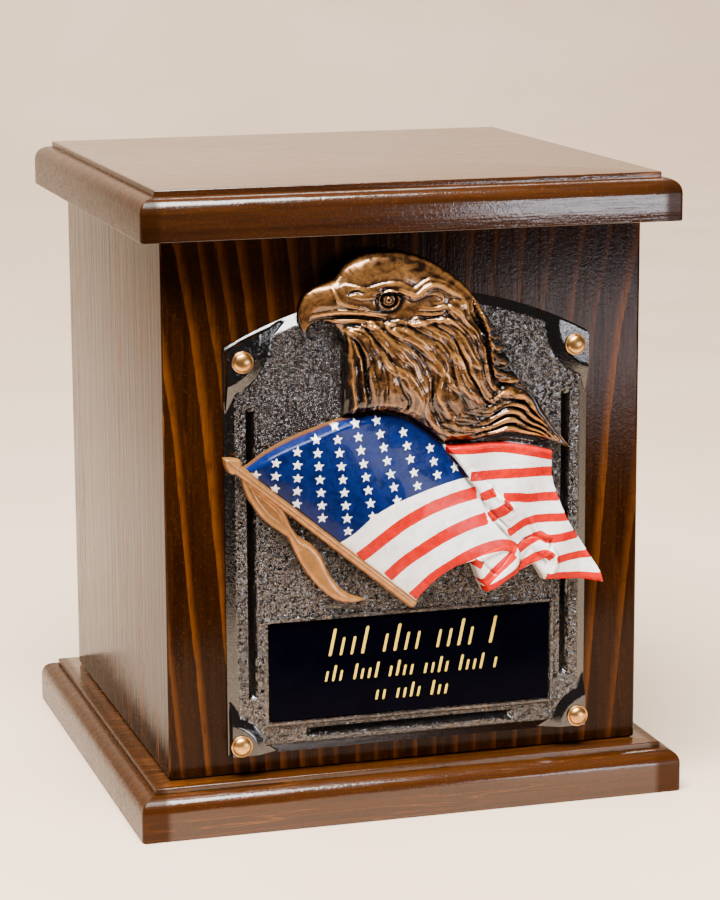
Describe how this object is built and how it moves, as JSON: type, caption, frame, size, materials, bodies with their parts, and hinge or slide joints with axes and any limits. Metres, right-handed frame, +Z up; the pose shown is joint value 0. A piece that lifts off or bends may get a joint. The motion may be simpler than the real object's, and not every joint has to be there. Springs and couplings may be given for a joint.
{
  "type": "cremation urn box",
  "caption": "Hollow wooden urn box with a lift-off moulded lid, a moulded base, and a cast front plaque of an eagle's head over a flag on a staff, with a blank-style nameplate.",
  "frame": {"origin": "middle of the base board's underside", "axes": "+Z up, -Y towards the front with the plaque, +X to the right as seen from the front"},
  "size_m": [0.224, 0.216, 0.2526],
  "materials": {
    "stained_wood": "dark walnut stain under satin-gloss lacquer, amber streaks in the grain",
    "panel_cast": "cast metal, crackled field, pewter-brown with bronze rubbed highlights, clear gloss coat",
    "black_plate": "flat glossy black with pale gold strokes in the inscription's place",
    "eagle_bronze": "antique bronze with a dark wash in the recesses, clear gloss coat",
    "flag_enamel": "glossy enamel in red, white and blue; staff, finial and ribbon in tan gold",
    "tack_brass": "satin brass dome"
  },
  "bodies": {
    "root": {"base_board": "stained_wood", "front_board": "stained_wood", "back_board": "stained_wood", "left_board": "stained_wood", "right_board": "stained_wood", "lid_board": "stained_wood", "plaque_panel": "panel_cast", "nameplate": "black_plate", "eagle": "eagle_bronze", "flag": "flag_enamel", "tack_top_left": "tack_brass", "tack_top_right": "tack_brass", "tack_bottom_left": "tack_brass", "tack_bottom_right": "tack_brass"}
  },
  "joints": []
}
